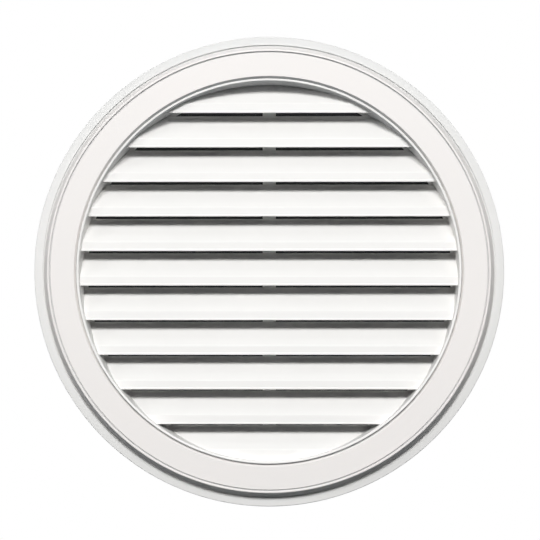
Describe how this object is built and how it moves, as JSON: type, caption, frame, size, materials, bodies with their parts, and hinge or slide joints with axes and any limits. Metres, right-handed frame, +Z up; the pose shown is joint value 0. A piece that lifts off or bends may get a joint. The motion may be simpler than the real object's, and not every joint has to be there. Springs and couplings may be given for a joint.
{
  "type": "round gable vent",
  "caption": "Round louvred gable vent with a nailing flange, a press-on trim ring and an insect screen.",
  "frame": {"origin": "centre of the flange's back face, which lies on the wall, and of the circle of nail holes", "axes": "+Z up, +X to the right seen from the front, +Y from the vent's front into the wall"},
  "size_m": [0.5588, 0.0435, 0.5588],
  "materials": {
    "panel_plastic": "white moulded plastic, fine satin texture",
    "ring_plastic": "white moulded plastic, fine satin texture",
    "screen_wire": "black coated woven wire, close mesh"
  },
  "bodies": {
    "root": {"louver_panel": "panel_plastic", "trim_ring": "ring_plastic", "insect_screen": "screen_wire"}
  },
  "joints": []
}
